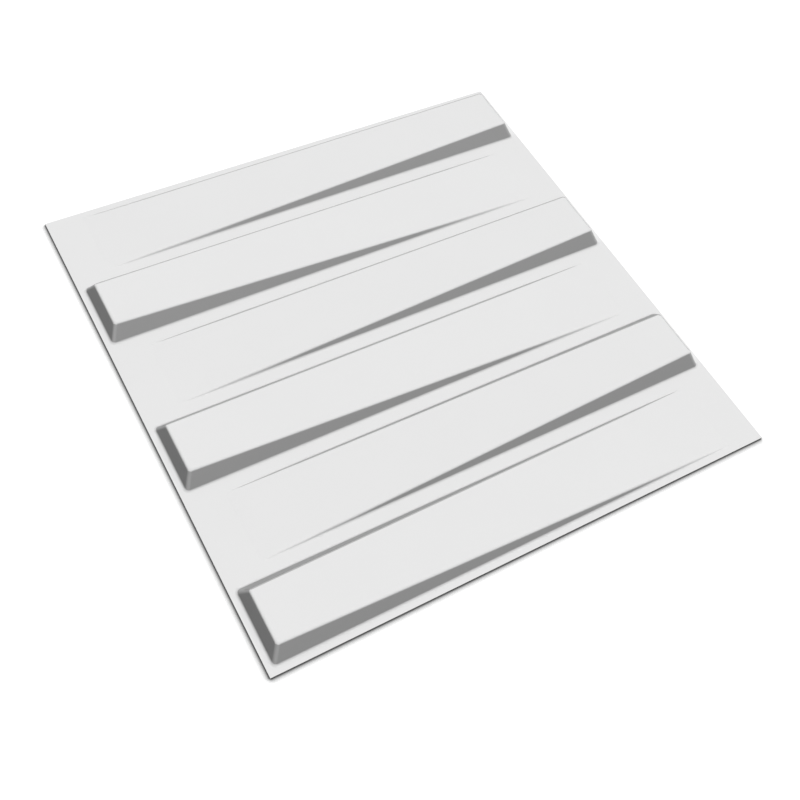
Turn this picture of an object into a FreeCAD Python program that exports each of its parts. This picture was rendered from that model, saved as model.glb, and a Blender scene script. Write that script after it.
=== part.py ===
import FreeCAD
import Part
import Sketcher
import os

# Wall panel tile: one moulded sheet with six long tapering bars in relief
#
# The tile is a square divided into equal strips, one bar to a strip. A bar is
# highest behind its end wall, close to one edge of the tile. Its crest falls
# in a straight line and runs out near the opposite edge. Every second strip is
# turned half round, so the bars run out towards alternate edges.
#
# A strip is worked out as two solids, each filling the space under a surface:
# one under the face of the sheet, and one under its back, which lies the
# sheet's gauge below the face everywhere. Their difference is the sheet.
#
# Strip frame: +X along the bar from end wall to run-out, +Y across the strip,
# +Z out of the face, with the flat of the sheet's back at the ground's height.
# Tile frame: origin at the tile's centre, on the plane of its flat back.

NODE = "wall_panel"
V = FreeCAD.Vector

# Two heights or lengths closer than this are the same, in millimetres
SAME = 1e-4

# Driving dimensions, in millimetres and degrees, and two shares:
# fade_room is the height of a bar where its fade begins, as a multiple of what its two roundings take up,
# and tail_width is the share of its width there that a long wall still has where the bar has run out

SIZES = {
    "tile_side": 500.0,
    "bar_count": 6.0,
    "sheet_gauge": 1.5,
    "side_margin": 6.8,
    "end_margin": 5.9,
    "run_out_margin": 35.0,
    "crest_rise": 16.2,
    "side_draft": 31.8,
    "end_draft": 23.8,
    "corner_radius": 3.8,
    "crest_radius": 3.0,
    "foot_radius": 2.8,
    "fade_room": 1.1,
    "tail_width": 0.2,
}

# Sizes that follow from them on both surfaces of the sheet

SHARED = {
    "pitch": "Sizes.tile_side / Sizes.bar_count",
    "run_out": "Sizes.tile_side - Sizes.run_out_margin",
    "fall": "Sizes.crest_rise / (run_out - Sizes.end_margin)",
    "side_tan": "tan(Sizes.side_draft * 1deg)",
    "end_tan": "tan(Sizes.end_draft * 1deg)",
    # how far a wall's foot moves in for each millimetre that the surface lies deeper
    "side_shift": "(1 - sin(Sizes.side_draft * 1deg)) / cos(Sizes.side_draft * 1deg)",
    "end_shift": "(1 - sin(Sizes.end_draft * 1deg)) / cos(Sizes.end_draft * 1deg)",
    # the block under the surfaces, how high the bars' section is drawn, and a height clear of it
    "ground": "Sizes.crest_rise",
    "tall": "2 * Sizes.crest_rise",
    "clear": "3 * Sizes.crest_rise",
    # how much of a long wall's height its two roundings take up together
    "rounding": "(Sizes.crest_radius + Sizes.foot_radius) * (1 - sin(Sizes.side_draft * 1deg))",
    # from here the roundings meet, and the bar fades into the flat
    "fade": "run_out - Sizes.fade_room * rounding / fall",
    "tail": "Sizes.tail_width",
}

# Sizes of the surface that lies depth below the face

AT_DEPTH = {
    "floor": "ground + Sizes.sheet_gauge - depth",
    "side_foot": "Sizes.side_margin + depth * side_shift",
    "end_foot": "Sizes.end_margin + depth * end_shift",
    # the crest plane moved down, measured upright
    "crest_at_run_out": "ground + Sizes.sheet_gauge - depth / cos(atan(fall))",
    "end_rise": "(crest_at_run_out + fall * (run_out - end_foot) - floor) / (1 + fall * end_tan)",
    "fade_rise": "crest_at_run_out + fall * (run_out - fade) - floor",
    "corner": "Sizes.corner_radius - depth",
    "crest": "Sizes.crest_radius - depth",
    "foot": "Sizes.foot_radius + depth",
    # how far a unit rounding reaches along the flat and, seen from above, up the wall
    "flat_reach": "tan((45 - Sizes.side_draft / 2) * 1deg)",
    "wall_reach": "flat_reach * sin(Sizes.side_draft * 1deg)",
    # where a long wall's roundings begin and end at the fade, seen from above and measured from its foot
    "foot_out": "foot * flat_reach",
    "wall_in": "foot * wall_reach",
    "brow_in": "side_tan * fade_rise - crest * wall_reach",
    "crest_in": "side_tan * fade_rise + crest * flat_reach",
}

doc = FreeCAD.newDocument("wall_panel_tile")


def spreadsheet():
    """Sheet of the driving dimensions, one named cell each."""
    sheet = doc.addObject("Spreadsheet::Sheet", "Sizes")
    for row, (alias, value) in enumerate(SIZES.items(), start=1):
        sheet.set(f"A{row}", alias.replace("_", " "))
        sheet.set(f"B{row}", str(value))
        sheet.setAlias(f"B{row}", alias)
    doc.recompute()
    return sheet


def surface_sizes(name, depth):
    """Set of the sizes that belong to the surface lying depth below the face."""
    sizes = doc.addObject("App::VarSet", name)
    for alias, expression in {**SHARED, "depth": depth, **AT_DEPTH}.items():
        sizes.addProperty("App::PropertyFloat", alias, "Surface")
        sizes.setExpression(alias, expression)
    doc.recompute()
    return sizes


def origin_plane(body, role):
    """Origin plane of a body, found by its role."""
    return next(feature for feature in body.Origin.OriginFeatures if feature.Role == role)


def outline(body, sizes, name, role, corners, offset="0"):
    """Closed outline of straight lines, each corner driven by two expressions in which @ stands for sizes."""
    sketch = body.newObject("Sketcher::SketchObject", name)
    sketch.AttachmentSupport = [(origin_plane(body, role), "")]
    sketch.MapMode = "FlatFace"
    sketch.setExpression("AttachmentOffset.Base.z", offset.replace("@", f"{sizes.Name}."))
    bound = {
        corner: [text.replace("@", f"{sizes.Name}.") for text in pair] for corner, pair in corners.items()
    }
    places = [V(sizes.evalExpression(x), sizes.evalExpression(y), 0) for x, y in bound.values()]
    count = len(places)
    for start, end in zip(places, places[1:] + places[:1]):
        sketch.addGeometry(Part.LineSegment(start, end))
    for line in range(count):
        sketch.addConstraint(Sketcher.Constraint("Coincident", line, 2, (line + 1) % count, 1))
    for line, (corner, (x, y)) in enumerate(bound.items()):
        hold(sketch, line, "X", f"{corner}_x", x, places[line].x)
        hold(sketch, line, "Y", f"{corner}_y", y, places[line].y)
    return sketch


def hold(sketch, line, axis, name, expression, value):
    """Holds the start of a line at a driven distance from the strip's origin."""
    if expression == "0":
        other_axis = {"X": -2, "Y": -1}[axis]
        sketch.addConstraint(Sketcher.Constraint("PointOnObject", line, 1, other_axis))
        return
    index = sketch.addConstraint(Sketcher.Constraint(f"Distance{axis}", -1, 1, line, 1, value))
    sketch.renameConstraint(index, name)
    sketch.setExpression(f"Constraints.{name}", expression)


def sub_names(kind, elements, wanted):
    """Names of a shape's edges or faces for which wanted is true."""
    return [f"{kind}{index}" for index, element in enumerate(elements, start=1) if wanted(element.BoundBox)]


def rounded(body, name, base, wanted, radius):
    """Rounding on the edges of the last feature for which wanted is true."""
    fillet = body.newObject("PartDesign::Fillet", name)
    fillet.Base = (base, sub_names("Edge", base.Shape.Edges, wanted))
    fillet.setExpression("Radius", radius)
    doc.recompute()
    return fillet


def relief(name, sizes):
    """Body filling the space under one surface of a strip."""
    body = doc.addObject("PartDesign::Body", name)
    body.Label = name

    # the ground and the bar's cross-section, run along the strip up to the fade
    bar = body.newObject("PartDesign::Pad", f"{name}_bar")
    bar.Profile = outline(body, sizes, f"{name}_section", "YZ_Plane", {
        "near_base": ("0", "0"),
        "far_base": ("@pitch", "0"),
        "far_floor": ("@pitch", "@floor"),
        "far_foot": ("@pitch - @side_foot", "@floor"),
        "far_top": ("@pitch - @side_foot - @side_tan * @tall", "@floor + @tall"),
        "near_top": ("@side_foot + @side_tan * @tall", "@floor + @tall"),
        "near_foot": ("@side_foot", "@floor"),
        "near_floor": ("0", "@floor"),
    })
    bar.setExpression("Length", f"{sizes.Name}.fade")
    doc.recompute()

    # the end wall and the falling crest, cut from the side
    crest = body.newObject("PartDesign::Pocket", f"{name}_crest")
    crest.Profile = outline(body, sizes, f"{name}_side", "XZ_Plane", {
        "edge": ("0", "@floor"),
        "end_foot": ("@end_foot", "@floor"),
        "end_top": ("@end_foot + @end_tan * @end_rise", "@floor + @end_rise"),
        "fade": ("@fade", "@floor + @fade_rise"),
        "clear_of_fade": ("@fade", "@floor + @clear"),
        "clear_of_edge": ("0", "@floor + @clear"),
    })
    crest.Type = "ThroughAll"
    crest.Reversed = False
    doc.recompute()

    # the corners between the end wall and the long walls, then the crest, then the foot
    floor, fade, pitch = sizes.floor, sizes.fade, sizes.pitch

    def between_walls(box):
        """Whether an edge climbs from the flat between the end wall and a long wall."""
        climbs = box.ZMin < floor + SAME and box.ZLength > sizes.end_rise / 2
        slants = box.XLength > SAME and box.YLength > SAME
        return climbs and slants and box.XMax < fade / 2

    def on_crest(box):
        """Whether an edge goes round the bar's top, and not across it where the fade begins."""
        return box.ZMin > floor + sizes.fade_rise - SAME and box.XMin < fade - SAME

    def on_foot(box):
        """Whether an edge goes round the bar's foot, clear of the strip's borders and of the fade."""
        level = abs(box.ZMin - floor) < SAME and abs(box.ZMax - floor) < SAME
        along = SAME < box.XMin < fade - SAME
        across = box.YMin > SAME and box.YMax < pitch - SAME
        return level and along and across

    corners = rounded(body, f"{name}_corners", crest, between_walls, f"{sizes.Name}.corner")
    brow = rounded(body, f"{name}_brow", corners, on_crest, f"{sizes.Name}.crest")
    foot = rounded(body, f"{name}_foot", brow, on_foot, f"{sizes.Name}.foot")

    # the fade: the rounded section drawn down to the flat and in to the foot at the run-out
    flat = outline(body, sizes, f"{name}_flat", "YZ_Plane", {
        "near_base": ("0", "0"),
        "far_base": ("@pitch", "0"),
        "far_floor": ("@pitch", "@floor"),
        "far_foot": ("@pitch - @side_foot + @tail * @foot_out", "@floor"),
        "far_wall": ("@pitch - @side_foot - @tail * @wall_in", "@floor"),
        "far_brow": ("@pitch - @side_foot - @tail * @brow_in", "@floor"),
        "far_crest": ("@pitch - @side_foot - @tail * @crest_in", "@floor"),
        "near_crest": ("@side_foot + @tail * @crest_in", "@floor"),
        "near_brow": ("@side_foot + @tail * @brow_in", "@floor"),
        "near_wall": ("@side_foot + @tail * @wall_in", "@floor"),
        "near_foot": ("@side_foot - @tail * @foot_out", "@floor"),
        "near_floor": ("0", "@floor"),
    }, offset="@run_out")
    doc.recompute()
    section = sub_names("Face", foot.Shape.Faces, lambda box: box.XMin > fade - SAME)
    run_out = body.newObject("PartDesign::AdditiveLoft", f"{name}_fade")
    run_out.Profile = (foot, section)
    run_out.Sections = [flat]
    run_out.Ruled = True
    doc.recompute()

    # the flat from the run-out to the far edge
    rest = body.newObject("PartDesign::Pad", f"{name}_rest")
    rest.Profile = outline(body, sizes, f"{name}_rest_section", "YZ_Plane", {
        "near_base": ("0", "0"),
        "far_base": ("@pitch", "0"),
        "far_floor": ("@pitch", "@floor"),
        "near_floor": ("0", "@floor"),
    }, offset="@run_out")
    rest.setExpression("Length", "Sizes.run_out_margin")
    doc.recompute()
    body.Tip = rest
    return body


def strip_of_sheet(face, back):
    """The sheet of one strip: the space under its face less the space under its back."""
    strip = doc.addObject("Part::Cut", "strip")
    strip.Base = face
    strip.Tool = back
    doc.recompute()
    return strip


def laid_strips(strip, sizes, count):
    """The strips side by side in the tile's frame, every second one turned half round."""
    laid = []
    for index in range(count):
        link = doc.addObject("App::Link", f"strip_{index + 1}")
        link.LinkedObject = strip
        turned = index % 2
        link.Placement = FreeCAD.Placement(V(), FreeCAD.Rotation(V(0, 0, 1), 180 * turned))
        side = "Sizes.tile_side / 2"
        link.setExpression("Placement.Base.x", side if turned else f"-{side}")
        link.setExpression("Placement.Base.y", f"{index + turned} * {sizes.Name}.pitch - {side}")
        link.setExpression("Placement.Base.z", f"-{sizes.Name}.ground")
        laid.append(link)
    doc.recompute()
    return laid


def check(objects):
    """Stops if any object failed or has no valid shape."""
    for item in objects:
        if {"Invalid", "Error"} & set(item.State):
            raise RuntimeError(f"{item.Name} failed: {item.State}")
        shape = getattr(item, "Shape", None)
        if shape is not None and (shape.isNull() or not shape.isValid()):
            raise RuntimeError(f"{item.Name} has no valid shape")


dimensions = spreadsheet()
face_sizes = surface_sizes("Face", "0")
back_sizes = surface_sizes("Back", "Sizes.sheet_gauge")
under_face = relief("under_face", face_sizes)
under_back = relief("under_back", back_sizes)
strip = strip_of_sheet(under_face, under_back)

panel = doc.addObject("Part::MultiFuse", NODE)
panel.Label = NODE
panel.Shapes = laid_strips(strip, face_sizes, int(dimensions.bar_count))
panel.Refine = True
panel.Placement = FreeCAD.Placement()
doc.recompute()

check(doc.Objects)
if len(panel.Shape.Solids) != 1:
    raise RuntimeError("the tile is not one piece")
os.makedirs("parts", exist_ok=True)
panel.Shape.exportStep(f"parts/{panel.Label}.step")
print(panel.Label, f"{panel.Shape.Volume:.1f} mm3", panel.Shape.BoundBox)
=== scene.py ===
"""Picture of a moulded wall tile with six tapering bars: its finish, floor, light and camera."""

import logging
import math
from dataclasses import dataclass, field
from enum import Enum
from typing import Optional

import bpy
import numpy as np
from mathutils import Matrix, Vector

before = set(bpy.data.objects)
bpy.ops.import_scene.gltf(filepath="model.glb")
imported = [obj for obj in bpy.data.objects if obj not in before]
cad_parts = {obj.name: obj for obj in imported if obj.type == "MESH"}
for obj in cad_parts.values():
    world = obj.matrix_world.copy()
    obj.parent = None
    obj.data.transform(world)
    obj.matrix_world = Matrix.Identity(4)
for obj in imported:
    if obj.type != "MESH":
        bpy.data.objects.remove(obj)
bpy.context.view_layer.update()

log = logging.getLogger("wall_tile")

Colour = tuple[float, float, float]
Point = tuple[float, float, float]
Socket = bpy.types.NodeSocket

WHITE = (1.0, 1.0, 1.0, 1.0)


class Ray(Enum):
    """The kinds of ray that see the plain white surroundings, by their socket on the Light Path node."""

    CAMERA = "Is Camera Ray"
    GLOSSY = "Is Glossy Ray"
    TRANSMISSION = "Is Transmission Ray"


class Step(Enum):
    """The steps of arithmetic that a finish uses, by the Math node's names."""

    ADD = "ADD"
    SUBTRACT = "SUBTRACT"
    MULTIPLY = "MULTIPLY"
    DIVIDE = "DIVIDE"
    MULTIPLY_ADD = "MULTIPLY_ADD"
    POWER = "POWER"
    GREATER = "MAXIMUM"
    LESSER = "MINIMUM"
    SIZE = "ABSOLUTE"
    WHOLE = "FLOOR"
    FRACTION = "FRACT"
    REMAINDER = "MODULO"


@dataclass(frozen=True)
class Band:
    """A stretch of a value over which a mask in a finish opens or closes.

    Attributes:
        low: Where the change begins.
        high: Where it is complete.
    """

    low: float
    high: float


@dataclass(frozen=True)
class Pattern:
    """A cloud pattern's make-up.

    Attributes:
        size: The size of its largest patches, in metres.
        layers: How many finer layers are added.
        strength: How strong each finer layer is against the last.
    """

    size: float
    layers: float
    strength: float = 0.5


@dataclass
class NodeSheet:
    """A node tree under construction, with short ways to add and join its nodes.

    Attributes:
        tree: The node tree that is filled.
        column: Where the next node is put, so that the tree can be read by eye.
        column_width: How far apart the columns are.
        row_height: How far apart the rows are.
        rows: How many rows the nodes are spread over.
    """

    tree: bpy.types.NodeTree
    column: int = 0
    column_width: int = 220
    row_height: int = 60
    rows: int = 5

    def add(self, kind: str, **settings: object) -> bpy.types.Node:
        """Adds a node.

        Args:
            kind: The node's type name.
            **settings: Properties to set on the node.

        Returns:
            The new node.
        """
        node = self.tree.nodes.new(kind)
        node.location = (self.column_width * self.column, -self.row_height * (self.column % self.rows))
        self.column += 1
        for name, value in settings.items():
            setattr(node, name, value)
        return node

    def join(self, source: Socket, target: Socket) -> None:
        """Joins one socket to another."""
        self.tree.links.new(source, target)

    def put(self, socket: Socket, value: object) -> None:
        """Feeds a socket.

        Args:
            socket: The socket that is fed.
            value: Another socket, or a plain value.
        """
        if isinstance(value, Socket):
            self.join(value, socket)
        else:
            socket.default_value = value

    def sum_of(self, step: Step, *values: object) -> Socket:
        """Works out one step of arithmetic.

        Args:
            step: The step.
            *values: Its inputs in order, each a socket or a number.

        Returns:
            The socket that carries the result.
        """
        node = self.add("ShaderNodeMath", operation=step.value)
        for socket, value in zip(node.inputs, values):
            self.put(socket, value)
        return node.outputs[0]

    def product(self, first: Socket, *others: object) -> Socket:
        """Multiplies values.

        Args:
            first: The first value's socket.
            *others: The others, each a socket or a number.

        Returns:
            The socket that carries the product.
        """
        result = first
        for other in others:
            result = self.sum_of(Step.MULTIPLY, result, other)
        return result

    def level(self, mask: Socket, change: float) -> Socket:
        """A level of one that changes by a share where a mask is full."""
        return self.sum_of(Step.MULTIPLY_ADD, mask, change, 1.0)

    def swing(self, pattern: Socket, reach: float, middle: float = 1.0) -> Socket:
        """Turns a cloud pattern into a value that swings about a middle.

        Args:
            pattern: The pattern's socket, about 0.5 on average.
            reach: How far it swings to each side.
            middle: The value in the middle.

        Returns:
            The socket that carries the value.
        """
        return self.sum_of(Step.MULTIPLY_ADD, self.sum_of(Step.SUBTRACT, pattern, 0.5), 2 * reach, middle)

    def rising(self, value: Socket, band: Band, start: float = 0.0, end: float = 1.0) -> Socket:
        """Maps a value smoothly from a band to a range.

        The result goes from start to end along an S-curve, 3 t^2 - 2 t^3, while the value crosses the band.

        Args:
            value: The value's socket.
            band: The band that it crosses.
            start: The result below the band.
            end: The result above it.

        Returns:
            The socket that carries the result.
        """
        node = self.add("ShaderNodeMapRange", interpolation_type="SMOOTHSTEP")
        self.put(node.inputs["Value"], value)
        self.put(node.inputs["From Min"], band.low)
        self.put(node.inputs["From Max"], band.high)
        self.put(node.inputs["To Min"], start)
        self.put(node.inputs["To Max"], end)
        return node.outputs["Result"]

    def falling(self, value: Socket, band: Band) -> Socket:
        """A mask that is full below a band and gone above it."""
        return self.rising(value, band, 1.0, 0.0)

    def clouds(self, at: Socket, pattern: Pattern) -> Socket:
        """A cloud pattern in the piece's own space.

        Args:
            at: The coordinates it is laid on.
            pattern: Its make-up.

        Returns:
            The socket that carries the pattern, about 0.5 on average.
        """
        node = self.add("ShaderNodeTexNoise")
        self.put(node.inputs["Vector"], at)
        self.put(node.inputs["Scale"], 1.0 / pattern.size)
        self.put(node.inputs["Detail"], pattern.layers)
        self.put(node.inputs["Roughness"], pattern.strength)
        return node.outputs["Fac"]

    def relief(self, height: Socket, tallest: float, under: Optional[Socket] = None) -> Socket:
        """Tilts the face's normal as a fine relief would.

        Args:
            height: The relief, as a share of its full height.
            tallest: Its full height, in metres.
            under: The normal that it is laid over, if another relief comes first.

        Returns:
            The socket that carries the normal.
        """
        node = self.add("ShaderNodeBump")
        self.put(node.inputs["Strength"], 1.0)
        self.put(node.inputs["Distance"], tallest)
        self.put(node.inputs["Height"], height)
        if under is not None:
            self.put(node.inputs["Normal"], under)
        return node.outputs["Normal"]

    def scaled(self, colour: Colour, level: Socket) -> Socket:
        """Makes a colour darker or lighter.

        Args:
            colour: The colour.
            level: What it is multiplied by.

        Returns:
            The socket that carries the result.
        """
        node = self.add("ShaderNodeVectorMath", operation="SCALE")
        self.put(node.inputs[0], colour)
        self.put(node.inputs["Scale"], level)
        return node.outputs[0]

    def seen_plainly(self) -> Socket:
        """Tells the rays that see the plain white surroundings from those that only bring light.

        Returns:
            The socket that carries one for the first and zero for the others.
        """
        path = self.add("ShaderNodeLightPath")
        seen = self.sum_of(Step.GREATER, path.outputs[Ray.CAMERA.value], path.outputs[Ray.GLOSSY.value])
        return self.sum_of(Step.GREATER, seen, path.outputs[Ray.TRANSMISSION.value])


@dataclass(frozen=True)
class BarLayout:
    """Where the bars are on the tile, as the finish needs it, in metres.

    Attributes:
        side: The tile's side.
        count: How many bars lie across it, every other one turned end for end.
        run_out: How far from its high end's edge a bar's top has come down to the sheet.
        fall: How much the top comes down for each metre along the bar.
        face: The height of the sheet's flat face.
        least: The height that a bar counts as having past its run-out, so that shares of it stay finite.
    """

    side: float = 0.5
    count: int = 6
    run_out: float = 0.465
    fall: float = 0.03529
    face: float = 0.0015
    least: float = 0.0005

    def pitch(self) -> float:
        """The width of one bar's strip."""
        return self.side / self.count

    def rise(self, sheet: NodeSheet, x: Socket, y: Socket) -> Socket:
        """How high a bar's top is above the flat face, over a point of the tile.

        The strip's number is the whole part of (y + side / 2) / pitch. Even strips are high at the left and
        odd ones at the right, so the distance from the high edge is side / 2 + x or side / 2 - x. The rise is
        fall times what is left from there to the run-out.

        Args:
            sheet: The node tree.
            x: The point's place along the bars.
            y: Its place across them.

        Returns:
            The socket that carries the height.
        """
        across = sheet.sum_of(Step.ADD, y, self.side / 2)
        number = sheet.sum_of(Step.WHOLE, sheet.sum_of(Step.DIVIDE, across, self.pitch()))
        odd = sheet.sum_of(Step.REMAINDER, number, 2.0)
        way = sheet.sum_of(Step.MULTIPLY_ADD, odd, -2.0, 1.0)
        reach = sheet.sum_of(Step.MULTIPLY_ADD, x, way, self.side / 2)
        left = sheet.sum_of(Step.SUBTRACT, self.run_out, reach)
        return sheet.sum_of(Step.GREATER, sheet.product(left, self.fall), self.least)

    def aside(self, sheet: NodeSheet, y: Socket) -> Socket:
        """How far a point is from the middle line of its strip, as a share of the strip's width."""
        strips = sheet.sum_of(Step.MULTIPLY_ADD, y, 1.0 / self.pitch(), self.count / 2)
        return sheet.sum_of(Step.SIZE, sheet.sum_of(Step.SUBTRACT, sheet.sum_of(Step.FRACTION, strips), 0.5))

    def far_off(self, sheet: NodeSheet, y: Socket) -> Socket:
        """How far a point is from the near edge towards the far one, from 0 to 1."""
        return sheet.rising(y, Band(-self.side / 2, self.side / 2))


@dataclass(frozen=True)
class SheetPoint:
    """What the finish reads at a point of the sheet.

    Attributes:
        at: Its place, as a vector.
        normal: The face's normal there, as a vector.
        across: The normal's share across the bars.
        upward: The normal's upright share.
        steep: The upright share without its sign.
        height: How far the point lies above the flat face.
        rise: How high the top of its bar is above the flat face.
        share: Its height as a share of the bar's.
        aside: How far it is from the middle line of its strip.
        far_off: How far it is from the near edge towards the far one.
    """

    at: Socket
    normal: Socket
    across: Socket
    upward: Socket
    steep: Socket
    height: Socket
    rise: Socket
    share: Socket
    aside: Socket
    far_off: Socket


@dataclass(frozen=True)
class SheetPlaces:
    """Where on the sheet each mark of its making and its use is found, and where shade and light are painted.

    Turns are bands of the normal's upright share, from 0 on a wall that stands upright to 1 on a level face.
    Shares are bands of the height as a share of the bar's, and heights are in metres.

    Attributes:
        layout: Where the bars are.
        crest_begins: The turn at which a wall passes into the rounding of a crest.
        crest_ends: The turn at which that rounding passes into the level top.
        crest_share: The share above which a rounding is a crest's.
        crease_turn: The turn at which a crease passes into the level face.
        crease_height: The height up to which a rounding is a crease.
        cut_turn: The turn below which a face is one of the cut edges.
        far_facing: The way that the far-facing sides of the bars face, where shade is painted.
        far_facing_turn: How far a face has to point that way to count as far-facing.
        far_crest_turn: The turn above which the painted shade shows on a rounding.
        far_crest_share: The share above which it shows in full.
        near_turn: The normal's share across the bars below which a face is on the near side of its bar.
        low_bar: The heights of a bar between which the shade painted over its near side goes from hardly any
            to full.
        margin_height: The height up to which a face is one of the margins.
        margin_rise: The height of a bar at its high end, beyond which only the margin is left.
        margin_aside: How far from the strip's middle line the margin in front of a bar's end stops.
    """

    layout: BarLayout = field(default_factory=BarLayout)
    crest_begins: Band = Band(0.62, 0.80)
    crest_ends: Band = Band(0.93, 0.995)
    crest_share: Band = Band(0.45, 0.75)
    crease_turn: Band = Band(0.90, 0.99)
    crease_height: Band = Band(0.0, 0.004)
    cut_turn: Band = Band(0.10, 0.30)
    far_facing: Point = (0.50, 0.87, 0.0)
    far_facing_turn: Band = Band(0.08, 0.28)
    far_crest_turn: Band = Band(0.54, 0.66)
    far_crest_share: Band = Band(0.40, 0.65)
    near_turn: Band = Band(-0.60, -0.20)
    low_bar: Band = Band(0.0012, 0.0040)
    margin_height: Band = Band(0.0, 0.002)
    margin_rise: Band = Band(0.0159, 0.0161)
    margin_aside: Band = Band(0.26, 0.42)

    def read(self, sheet: NodeSheet) -> SheetPoint:
        """Reads a point's place, its turn and its height on the bar.

        Args:
            sheet: The node tree.

        Returns:
            What is read.
        """
        coordinates = sheet.add("ShaderNodeTexCoord")
        place = sheet.add("ShaderNodeSeparateXYZ")
        sheet.join(coordinates.outputs["Object"], place.inputs[0])
        turn = sheet.add("ShaderNodeSeparateXYZ")
        sheet.join(coordinates.outputs["Normal"], turn.inputs[0])
        height = sheet.sum_of(Step.SUBTRACT, place.outputs["Z"], self.layout.face)
        rise = self.layout.rise(sheet, place.outputs["X"], place.outputs["Y"])
        return SheetPoint(
            at=coordinates.outputs["Object"],
            normal=coordinates.outputs["Normal"],
            across=turn.outputs["Y"],
            upward=turn.outputs["Z"],
            steep=sheet.sum_of(Step.SIZE, turn.outputs["Z"]),
            height=height,
            rise=rise,
            share=sheet.sum_of(Step.DIVIDE, height, rise),
            aside=self.layout.aside(sheet, place.outputs["Y"]),
            far_off=self.layout.far_off(sheet, place.outputs["Y"]),
        )

    def crest(self, sheet: NodeSheet, point: SheetPoint) -> Socket:
        """Finds the rounded crests of the bars.

        Args:
            sheet: The node tree.
            point: What is read at the point.

        Returns:
            The socket that carries the mask.
        """
        bent = sheet.product(
            sheet.rising(point.upward, self.crest_begins),
            sheet.falling(point.upward, self.crest_ends),
        )
        return sheet.product(bent, sheet.rising(point.share, self.crest_share))

    def crease(self, sheet: NodeSheet, point: SheetPoint) -> Socket:
        """Finds the creases at the bars' feet.

        Args:
            sheet: The node tree.
            point: What is read at the point.

        Returns:
            The socket that carries the mask.
        """
        return sheet.product(
            sheet.falling(point.upward, self.crease_turn),
            sheet.falling(point.height, self.crease_height),
        )

    def cut_edge(self, sheet: NodeSheet, point: SheetPoint) -> Socket:
        """The cut edges around the tile."""
        return sheet.falling(point.steep, self.cut_turn)

    def far_facing_side(self, sheet: NodeSheet, point: SheetPoint) -> Socket:
        """Finds the sides of the bars that face the far side, where shade is painted.

        The mask rises with the dot product of the face's normal and that way.

        Args:
            sheet: The node tree.
            point: What is read at the point.

        Returns:
            The socket that carries the mask.
        """
        along = sheet.add("ShaderNodeVectorMath", operation="DOT_PRODUCT")
        sheet.put(along.inputs[0], point.normal)
        sheet.put(along.inputs[1], self.far_facing)
        return sheet.rising(along.outputs["Value"], self.far_facing_turn)

    def near_side(self, sheet: NodeSheet, point: SheetPoint) -> Socket:
        """The sides of the bars that face the near edge."""
        return sheet.falling(point.across, self.near_turn)

    def end_margin(self, sheet: NodeSheet, point: SheetPoint) -> Socket:
        """Finds the narrow margins in front of the bars' high ends, on the face alone, where light is
        painted.

        Args:
            sheet: The node tree.
            point: What is read at the point.

        Returns:
            The socket that carries the mask.
        """
        return sheet.product(
            sheet.falling(point.height, self.margin_height),
            sheet.rising(point.rise, self.margin_rise),
            sheet.rising(point.upward, self.cut_turn),
            sheet.falling(point.aside, self.margin_aside),
        )


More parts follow.
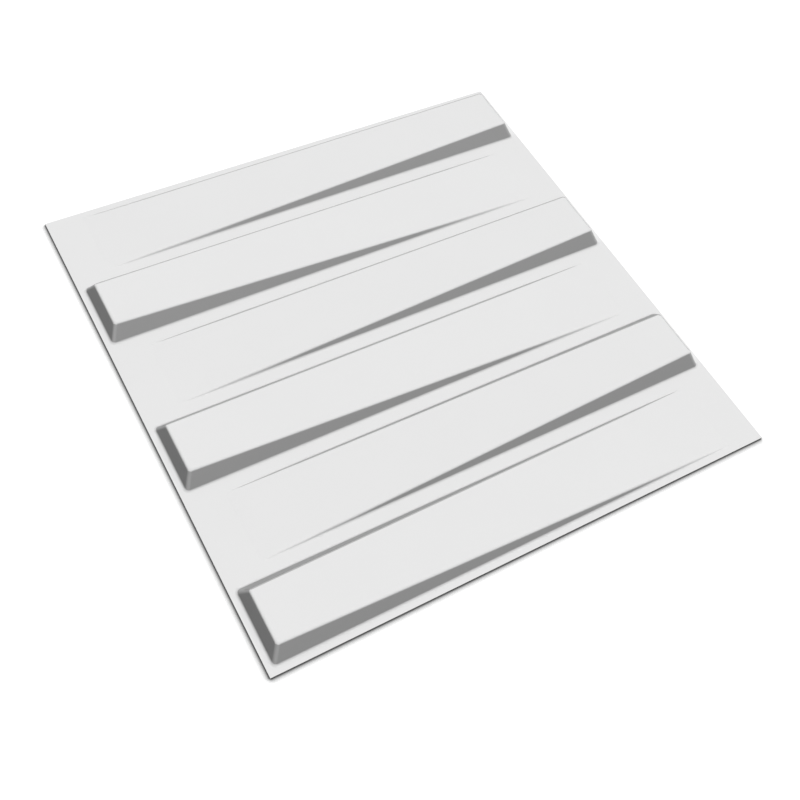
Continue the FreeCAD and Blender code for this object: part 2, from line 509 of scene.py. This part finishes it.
@dataclass(frozen=True)
class MouldedSheetFinish:
    """White matt moulded sheet: fine grain, faint clouds of tone and gloss, rubbed crests and darker creases.

    Shade is painted on the steep walls, the far-facing crests and the cut edges, and partly in the creases,
    where the rest is dust. Light is painted on the narrow margins in front of the bars' high ends.

    Attributes:
        places: Where each mark of making and use is found.
        tone: The sheet's colour.
        cloud: How far its tone drifts from place to place, as a share.
        drifts: The pattern of those drifts.
        speck: How far single grains differ in tone, as a share.
        level_until: The upright share of a face's normal down to which no shade is painted on the sheet.
        wall_shade_power: The power by which its tone falls below that: painted shade that darkens steeper
            walls.
        least_shaded_share: The least share of its tone that the painted shade leaves.
        far_share: The share of that power left on the near-facing walls along the far edge, which paints less
            shade.
        far_low: How much sooner the bars along the far edge count as low, as a share of their height.
        margin_painted_light: How much lighter painted light makes the narrow margins in front of the bars'
            high ends, as a share.
        far_crest_shade: How much darker the painted shade makes the far-facing crests, as a share.
        far_crest_shade_at_foot: How much of that the roundings at their feet have.
        cut_edge_shade: How much greyer painted shade makes the cut edges, as a share.
        dust_and_shade: How much darker the creases at the bars' feet are, partly dust and partly painted
            shade, as a share.
        dust_and_shade_patches: The band of the patches over which that darkening gathers.
        dust_and_shade_least: The share of it that lies where there is least.
        shine: How much cleaner the rubbed crests are, as a share.
        sheen: How strongly the face mirrors, where a half is a plain glossy plastic.
        bending: How strongly the plastic bends light.
        roughness: How matt the face is.
        roughness_drift: How far that differs from place to place.
        patches: The pattern of those places.
        rubbed: How much smoother the rubbed crests are.
        grain: The pattern of the grain.
        grain_height: The grain's height, in metres.
        ripple: The slow unevenness of a sheet drawn over its mould.
        ripple_height: Its height, in metres.
    """

    places: SheetPlaces = field(default_factory=SheetPlaces)
    tone: Colour = (0.800, 0.800, 0.800)
    cloud: float = 0.010
    drifts: Pattern = Pattern(0.090, 3.0)
    speck: float = 0.012
    level_until: float = 0.84
    wall_shade_power: float = 1.05
    least_shaded_share: float = 0.40
    far_share: float = 0.70
    far_low: float = 0.33
    margin_painted_light: float = 0.07
    far_crest_shade: float = 0.42
    far_crest_shade_at_foot: float = 0.10
    cut_edge_shade: float = 0.20
    dust_and_shade: float = 0.05
    dust_and_shade_patches: Band = Band(0.2, 0.7)
    dust_and_shade_least: float = 0.7
    shine: float = 0.05
    sheen: float = 0.20
    bending: float = 1.5
    roughness: float = 0.60
    roughness_drift: float = 0.07
    patches: Pattern = Pattern(0.030, 4.0, 0.55)
    rubbed: float = 0.08
    grain: Pattern = Pattern(0.0009, 3.0, 0.6)
    grain_height: float = 0.000012
    ripple: Pattern = Pattern(0.014, 1.0)
    ripple_height: float = 0.00002

    def painted_wall_shade(self, sheet: NodeSheet, point: SheetPoint, far_facing: Socket, cut: Socket) -> Socket:
        """The share of its tone that the sheet keeps under the shade painted on its walls.

        The share is the slant to a power, a painted shade that makes steeper walls darker. The power fades on
        the near sides of low bars, and is less on the near sides of the bars along the far edge, so less
        shade is painted there.

        Args:
            sheet: The node tree.
            point: What is read at the point.
            far_facing: The sides that face the far side, which always get the full painted shade.
            cut: The cut edges.

        Returns:
            The socket that carries the share.
        """
        # Painted shade: steeper walls get a darker tone, less of it on low bars and on the near sides of far
        # bars.
        counted = sheet.product(point.rise, sheet.level(point.far_off, -self.far_low))
        tall = sheet.rising(counted, self.places.low_bar)
        tall = sheet.sum_of(Step.GREATER, far_facing, tall)
        tall = sheet.sum_of(Step.GREATER, tall, cut)
        slant = sheet.sum_of(Step.DIVIDE, point.steep, self.level_until)
        slant = sheet.sum_of(Step.LESSER, slant, 1.0)
        eased = sheet.product(point.far_off, self.places.near_side(sheet, point))
        wall_shade_power = sheet.sum_of(Step.MULTIPLY_ADD, eased, (self.far_share - 1.0) * self.wall_shade_power, self.wall_shade_power)
        kept = sheet.sum_of(Step.POWER, slant, sheet.product(tall, wall_shade_power))
        return sheet.sum_of(Step.GREATER, kept, self.least_shaded_share)

    def far_crest_shading(self, sheet: NodeSheet, point: SheetPoint, far_facing: Socket) -> Socket:
        """The share of its tone that the sheet keeps on the far-facing roundings, under their painted shade.

        Args:
            sheet: The node tree.
            point: What is read at the point.
            far_facing: The sides that face the far side.

        Returns:
            The socket that carries the share.
        """
        # Painted shade: a grey band on the roundings that face the far side.
        greyer = sheet.product(
            far_facing,
            sheet.rising(point.upward, self.places.far_crest_turn),
            sheet.rising(point.share, self.places.far_crest_share, self.far_crest_shade_at_foot, 1.0),
        )
        return sheet.level(greyer, -self.far_crest_shade)

    def material(self) -> bpy.types.Material:
        """Builds the finish.

        Returns:
            The material.
        """
        material = bpy.data.materials.new("white_moulded_sheet")
        material.use_nodes = True
        material.node_tree.nodes.clear()
        sheet = NodeSheet(material.node_tree)
        point = self.places.read(sheet)
        crest = self.places.crest(sheet, point)
        crease = self.places.crease(sheet, point)
        cut = self.places.cut_edge(sheet, point)
        far_facing = self.places.far_facing_side(sheet, point)
        grain = sheet.clouds(point.at, self.grain)
        patches = sheet.clouds(point.at, self.patches)
        # Partly dust, partly painted shade: the creases at the bars' feet are darker, in patches.
        dust_and_shade = sheet.product(crease, sheet.rising(patches, self.dust_and_shade_patches, self.dust_and_shade_least, 1.0))

        level = sheet.product(
            sheet.swing(sheet.clouds(point.at, self.drifts), self.cloud),
            sheet.swing(grain, self.speck),
            # Partly dust, partly painted shade in the creases.
            sheet.level(dust_and_shade, -self.dust_and_shade),
            # Painted shade that darkens the steep walls.
            self.painted_wall_shade(sheet, point, far_facing, cut),
            # Painted shade on the cut edges.
            sheet.level(cut, -self.cut_edge_shade),
            sheet.level(crest, self.shine),
            # Painted light on the margins in front of the bars' high ends.
            sheet.level(self.places.end_margin(sheet, point), self.margin_painted_light),
            # Painted shade on the far-facing crests.
            self.far_crest_shading(sheet, point, far_facing),
        )
        matt = sheet.swing(patches, self.roughness_drift, self.roughness)
        matt = sheet.sum_of(Step.MULTIPLY_ADD, crest, -self.rubbed, matt)
        matt = sheet.sum_of(Step.MULTIPLY_ADD, crease, self.rubbed, matt)
        uneven = sheet.relief(sheet.clouds(point.at, self.ripple), self.ripple_height)

        shader = sheet.add("ShaderNodeBsdfPrincipled")
        sheet.put(shader.inputs["IOR"], self.bending)
        sheet.put(shader.inputs["Specular IOR Level"], self.sheen)
        sheet.put(shader.inputs["Base Color"], sheet.scaled(self.tone, level))
        sheet.put(shader.inputs["Roughness"], matt)
        sheet.put(shader.inputs["Normal"], sheet.relief(grain, self.grain_height, uneven))
        output = sheet.add("ShaderNodeOutputMaterial")
        sheet.join(shader.outputs["BSDF"], output.inputs["Surface"])
        return material


@dataclass
class WallTile:
    """The tile itself: one moulded sheet, which the CAD gives whole, so it only gets its finish here.

    Attributes:
        node: The CAD node's name.
        finish: Its finish.
    """

    node: str = "wall_panel"
    finish: MouldedSheetFinish = field(default_factory=MouldedSheetFinish)

    def dress(self, nodes: dict[str, bpy.types.Object]) -> bpy.types.Object:
        """Gives the sheet its finish.

        Args:
            nodes: The CAD nodes by name.

        Returns:
            The dressed node.
        """
        piece = nodes[self.node]
        material = self.finish.material()
        for slot in piece.material_slots:
            slot.material = material
        piece.visible_diffuse = False
        return piece


@dataclass(frozen=True)
class PaleFloorFinish:
    """Plain pale floor that shows white to the camera and keeps the tile's shadow.

    Attributes:
        tone: The floor's own colour.
        lift: What is added to it where the camera sees it, so that the open floor is white.
        reach: How far from the tile's edge the shade at its foot goes, in metres.
        towards: The direction that the shade is thrown from.
        depth: The power that the unhidden share of the light is raised to.
        tries: How many directions are looked along to find that share.
    """

    tone: Colour = (0.92, 0.92, 0.92)
    lift: float = 0.32
    reach: float = 0.0058
    towards: Point = (0.45, 0.45, 0.77)
    depth: float = 3.3
    tries: int = 16

    def open_share(self, sheet: NodeSheet) -> Socket:
        """How much of the light from the given direction reaches a point of the floor.

        Args:
            sheet: The node tree.

        Returns:
            The socket that carries the share.
        """
        towards = sheet.add("ShaderNodeCombineXYZ")
        for socket, value in zip(towards.inputs, Vector(self.towards).normalized()):
            sheet.put(socket, value)
        hidden = sheet.add("ShaderNodeAmbientOcclusion", samples=self.tries)
        sheet.put(hidden.inputs["Distance"], self.reach)
        sheet.put(hidden.inputs["Normal"], towards.outputs[0])
        return sheet.sum_of(Step.POWER, hidden.outputs["AO"], self.depth)

    def material(self) -> bpy.types.Material:
        """Builds the finish: a matt colour, with a plain white glow added where the surroundings are seen.

        Returns:
            The material.
        """
        material = bpy.data.materials.new("pale_floor")
        material.use_nodes = True
        material.node_tree.nodes.clear()
        sheet = NodeSheet(material.node_tree)
        open_share = self.open_share(sheet)
        matt = sheet.add("ShaderNodeBsdfDiffuse")
        sheet.put(matt.inputs["Color"], sheet.scaled(self.tone, open_share))
        glow = sheet.add("ShaderNodeEmission")
        sheet.put(glow.inputs["Color"], WHITE)
        sheet.put(glow.inputs["Strength"], sheet.product(sheet.seen_plainly(), self.lift, open_share))
        both = sheet.add("ShaderNodeAddShader")
        sheet.join(matt.outputs[0], both.inputs[0])
        sheet.join(glow.outputs[0], both.inputs[1])
        clear = sheet.add("ShaderNodeBsdfTransparent")
        facing = sheet.add("ShaderNodeNewGeometry")
        mix = sheet.add("ShaderNodeMixShader")
        sheet.join(facing.outputs["Backfacing"], mix.inputs["Fac"])
        sheet.join(both.outputs[0], mix.inputs[1])
        sheet.join(clear.outputs[0], mix.inputs[2])
        output = sheet.add("ShaderNodeOutputMaterial")
        sheet.join(mix.outputs[0], output.inputs["Surface"])
        return material


@dataclass
class StudioFloor:
    """The level floor under the tile.

    Attributes:
        radius: How far it reaches, in metres.
        rings: How many rings of faces it has.
        spokes: How many faces there are in a ring.
        drop: How far it lies under the tile's resting plane, so that the two faces don't fight.
        finish: Its finish.
    """

    radius: float = 6.0
    rings: int = 12
    spokes: int = 64
    drop: float = 0.00002
    finish: PaleFloorFinish = field(default_factory=PaleFloorFinish)

    def points(self) -> np.ndarray:
        """The floor's points: the middle one, and then ring by ring.

        A point's distance from the middle is radius times the square of its ring's share, and its bearing is
        a full turn times its spoke's share.

        Returns:
            The points, one to a row.
        """
        ring, spoke = np.meshgrid(np.arange(1, self.rings + 1), np.arange(self.spokes), indexing="ij")
        reach = self.radius * (ring / self.rings) ** 2
        bearing = 2 * math.pi * spoke / self.spokes
        depth = np.full(reach.shape, -self.drop)
        around = np.stack([reach * np.cos(bearing), reach * np.sin(bearing), depth], axis=-1)
        return np.vstack([[[0.0, 0.0, -self.drop]], around.reshape(-1, 3)])

    def faces(self) -> list[list[int]]:
        """The floor's faces: four-sided ones from ring to ring, and a fan of triangles in the middle.

        Returns:
            Each face's points, by their row.
        """
        ring, spoke = np.meshgrid(np.arange(self.rings - 1), np.arange(self.spokes), indexing="ij")
        here = 1 + ring * self.spokes + spoke
        beside = 1 + ring * self.spokes + (spoke + 1) % self.spokes
        quads = np.stack([here, here + self.spokes, beside + self.spokes, beside], axis=-1).reshape(-1, 4)
        first = np.arange(self.spokes)
        fan = np.stack([np.zeros(self.spokes, int), 1 + first, 1 + (first + 1) % self.spokes], axis=-1)
        return quads.tolist() + fan.tolist()

    def build(self) -> bpy.types.Object:
        """Builds the floor as a disc.

        Returns:
            The floor's object.
        """
        mesh = bpy.data.meshes.new("studio_floor")
        mesh.from_pydata(self.points().tolist(), [], self.faces())
        mesh.materials.append(self.finish.material())
        floor = bpy.data.objects.new("studio_floor", mesh)
        floor.visible_diffuse = False
        floor.visible_shadow = False
        bpy.context.scene.collection.objects.link(floor)
        return floor


@dataclass
class SoftLamp:
    """A large soft lamp far off, so that its light is the same all over the tile.

    Attributes:
        name: The lamp's name.
        towards: The direction from the tile to the lamp.
        level: How bright a white face turned to it becomes, where 1 is white.
        spread: How wide the lamp looks from the tile, in degrees.
        distance: Where its object stands, in metres, which has no bearing on its light.
    """

    name: str
    towards: Point
    level: float
    spread: float
    distance: float = 2.0

    def build(self) -> bpy.types.Object:
        """Builds the lamp.

        Returns:
            The lamp's object.
        """
        data = bpy.data.lights.new(self.name, "SUN")
        data.energy = self.level * math.pi
        data.angle = math.radians(self.spread)
        lamp = bpy.data.objects.new(self.name, data)
        away = Vector(self.towards).normalized()
        lamp.location = away * self.distance
        lamp.rotation_euler = away.to_track_quat("Z", "Y").to_euler()
        bpy.context.scene.collection.objects.link(lamp)
        return lamp


@dataclass
class Surroundings:
    """The plain room around the tile: white where it is seen, and a soft grey fill elsewhere.

    Attributes:
        fill: How bright the fill from all around is, where 1 is white.
    """

    fill: float = 0.03

    def build(self) -> bpy.types.World:
        """Builds the room as the scene's world.

        Returns:
            The world.
        """
        world = bpy.data.worlds.new("plain_room")
        world.use_nodes = True
        world.node_tree.nodes.clear()
        sheet = NodeSheet(world.node_tree)
        brightness = sheet.sum_of(Step.MULTIPLY_ADD, sheet.seen_plainly(), 1.0 - self.fill, self.fill)
        room = sheet.add("ShaderNodeBackground")
        sheet.put(room.inputs["Color"], WHITE)
        sheet.put(room.inputs["Strength"], brightness)
        output = sheet.add("ShaderNodeOutputWorld")
        sheet.join(room.outputs[0], output.inputs["Surface"])
        bpy.context.scene.world = world
        return world


@dataclass
class Viewpoint:
    """The camera, at the picture's viewing angle.

    Attributes:
        place: Where it stands, in metres.
        aim: The point on the floor that it is turned to.
        roll: How far it is tipped to one side, in degrees.
        sensor: The width of its sensor, in millimetres.
        lens: Its focal length, in millimetres.
        shift: How far the picture is shifted across and up, as shares of its width.
        clip: The nearest and the farthest distance that it sees, in metres.
    """

    place: Point = (-0.40807, -0.52032, 0.87847)
    aim: Point = (0.00131, -0.00327, 0.0)
    roll: float = 11.2877
    sensor: float = 36.0
    lens: float = 52.3895
    shift: tuple[float, float] = (0.00216, -0.08576)
    clip: tuple[float, float] = (0.01, 50.0)

    def build(self) -> bpy.types.Object:
        """Builds the camera and makes it the scene's.

        Returns:
            The camera's object.
        """
        data = bpy.data.cameras.new("viewpoint")
        data.sensor_width = self.sensor
        data.lens = self.lens
        data.shift_x, data.shift_y = self.shift
        data.clip_start, data.clip_end = self.clip
        camera = bpy.data.objects.new("viewpoint", data)
        back = (Vector(self.place) - Vector(self.aim)).normalized()
        level = back.to_track_quat("Z", "Y").to_matrix()
        tipped = level @ Matrix.Rotation(math.radians(self.roll), 3, "Z")
        camera.matrix_world = Matrix.Translation(self.place) @ tipped.to_4x4()
        bpy.context.scene.collection.objects.link(camera)
        bpy.context.scene.camera = camera
        return camera


@dataclass
class Studio:
    """The floor, the room, the lamps and the camera around the tile.

    Attributes:
        floor: The floor.
        room: The plain room.
        viewpoint: The camera.
        lamps: The soft lamps.
    """

    floor: StudioFloor = field(default_factory=StudioFloor)
    room: Surroundings = field(default_factory=Surroundings)
    viewpoint: Viewpoint = field(default_factory=Viewpoint)
    lamps: tuple[SoftLamp, ...] = (
        SoftLamp(name="key_lamp", towards=(0.12, 0.05, 1.0), level=0.965, spread=80.0),
        SoftLamp(name="under_lamp", towards=(0.0, 0.0, -1.0), level=0.55, spread=60.0),
    )

    def build(self) -> None:
        """Builds everything that stands around the tile."""
        bpy.context.scene.view_settings.view_transform = "Standard"
        self.floor.build()
        self.room.build()
        for lamp in self.lamps:
            lamp.build()
        self.viewpoint.build()


def main() -> None:
    """Builds the classes in order and reports each piece."""
    logging.basicConfig(level=logging.INFO, format="%(message)s")
    Studio().build()
    piece = WallTile().dress(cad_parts)
    finish = piece.material_slots[0].material
    log.info("%s: %d faces, finish %s", piece.name, len(piece.data.polygons), finish.name)


if __name__ == "__main__":
    main()
